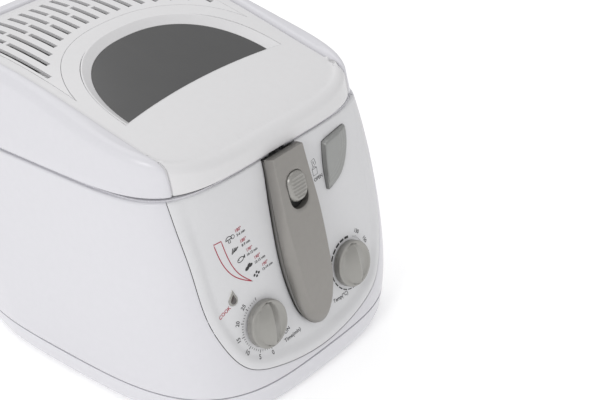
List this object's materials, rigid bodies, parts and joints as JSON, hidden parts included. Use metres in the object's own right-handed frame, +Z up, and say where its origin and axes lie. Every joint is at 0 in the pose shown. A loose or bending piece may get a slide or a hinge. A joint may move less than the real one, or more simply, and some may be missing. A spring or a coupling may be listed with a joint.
{
  "type": "deep fryer",
  "caption": "Closed white electric deep fryer with a sloping windowed lid, slotted filter cover, fold-out basket handle, timer and thermostat knobs.",
  "frame": {"origin": "middle of the bounding box, on the surface the fryer stands on", "axes": "+Z up, -Y towards the front with the controls, +X to the right seen from the front"},
  "size_m": [0.2744, 0.3521, 0.2724],
  "materials": {
    "body_white": "satin white moulding",
    "steel": "plain steel",
    "basket_chrome": "chromed wire",
    "bowl_dark": "non-stick coating",
    "inner_black": "black technical plastic",
    "lid_white": "satin white moulding",
    "filter_black": "charcoal filter felt",
    "rubber_grey": "rubber",
    "panel_white": "satin white moulding with printed scales",
    "aluminium": "sheet aluminium",
    "handle_grey": "warm grey plastic",
    "handle_dark": "warm grey plastic, darker shell",
    "seal_grey": "silicone",
    "button_grey": "grey plastic with ribs",
    "lamp_amber": "unlit tinted lamp lens",
    "knob_grey": "grey plastic",
    "window_smoke": "dark tinted clear window"
  },
  "bodies": {
    "housing": {"base": "body_white", "base_screws": "steel", "bowl": "bowl_dark", "cord_gland": "inner_black", "element_brackets": "steel", "foot_front_left": "rubber_grey", "foot_front_right": "rubber_grey", "foot_rear_left": "rubber_grey", "foot_rear_right": "rubber_grey", "front_panel": "panel_white", "heat_shield": "aluminium", "heating_element": "steel", "hinge_bracket_left": "steel", "hinge_bracket_right": "steel", "lamp_holder": "inner_black", "latch_bracket": "inner_black", "latch_pin": "steel", "outer_shell": "body_white", "pilot_lamp": "lamp_amber", "shield_posts": "inner_black", "terminal_block": "inner_black", "thermal_cutout": "inner_black", "thermostat_housing": "inner_black", "timer_housing": "inner_black"},
    "lid": {"lid_shell": "lid_white", "lid_panel": "lid_white", "window_bezel": "lid_white", "window_lens": "window_smoke", "inner_cover": "aluminium", "lid_seal": "seal_grey", "filter_tray": "inner_black", "grease_filter": "aluminium", "filter_mat": "filter_black", "lid_strike": "steel", "hinge_pin_left": "steel", "hinge_pin_right": "steel"},
    "filter": {"filter_cover": "lid_white"},
    "button": {"open_button": "button_grey"},
    "latch": {"latch_hook": "inner_black"},
    "basket": {"basket_mesh": "basket_chrome", "basket_rim": "basket_chrome", "basket_arm": "basket_chrome", "basket_feet": "basket_chrome"},
    "handle": {"handle_cover": "handle_grey", "handle_underside": "handle_dark", "handle_screws": "steel", "handle_pin": "steel", "lift_lever": "steel"},
    "slider": {"release_slider": "handle_grey", "slider_tongue": "steel"},
    "timer": {"timer_knob": "knob_grey", "timer_shaft": "steel"},
    "thermostat": {"thermostat_knob": "knob_grey", "thermostat_shaft": "steel"}
  },
  "joints": [
    {"name": "lid_hinge", "type": "hinge", "parent": "housing", "child": "lid", "pos_m": [0, 0.16, 0.217], "axis": [-1, 0, 0], "range_deg": [0, 80]},
    {"name": "filter_cover_lift", "type": "slide", "parent": "lid", "child": "filter", "axis": [0, -0.1392, 0.9903], "range_m": [0, 0.03]},
    {"name": "open_button_press", "type": "slide", "parent": "housing", "child": "button", "axis": [0, 0.9816, -0.1908], "range_m": [0, 0.004], "stiffness_N_per_m": 400, "springref_m": -0.002},
    {"name": "latch_swing", "type": "hinge", "parent": "housing", "child": "latch", "pos_m": [0.07, -0.108, 0.15], "axis": [-1, 0, 0], "range_deg": [0, 6]},
    {"name": "handle_fold", "type": "hinge", "parent": "housing", "child": "handle", "pos_m": [0, -0.14, 0.1875], "axis": [-1, 0, 0], "range_deg": [0, 90]},
    {"name": "basket_lift", "type": "slide", "parent": "housing", "child": "basket", "axis": [0, 0, 1], "range_m": [0, 0.036]},
    {"name": "handle_release", "type": "slide", "parent": "handle", "child": "slider", "axis": [0, -0.1994, -0.9799], "range_m": [0, 0.006], "stiffness_N_per_m": 150, "springref_m": -0.002},
    {"name": "timer_turn", "type": "hinge", "parent": "housing", "child": "timer", "pos_m": [-0.0555, -0.15945, 0.075], "axis": [0, 0.9781, -0.2079], "range_deg": [-45, 185]},
    {"name": "thermostat_turn", "type": "hinge", "parent": "housing", "child": "thermostat", "pos_m": [0.0515, -0.15958, 0.075], "axis": [0, 0.9781, -0.2079], "range_deg": [0, 300]}
  ],
  "couplings": [
    {"joint": "latch_swing", "follows": "open_button_press", "rad_per_m": 26.17},
    {"joint": "basket_lift", "follows": "handle_fold", "m_per_rad": 0.022917}
  ]
}
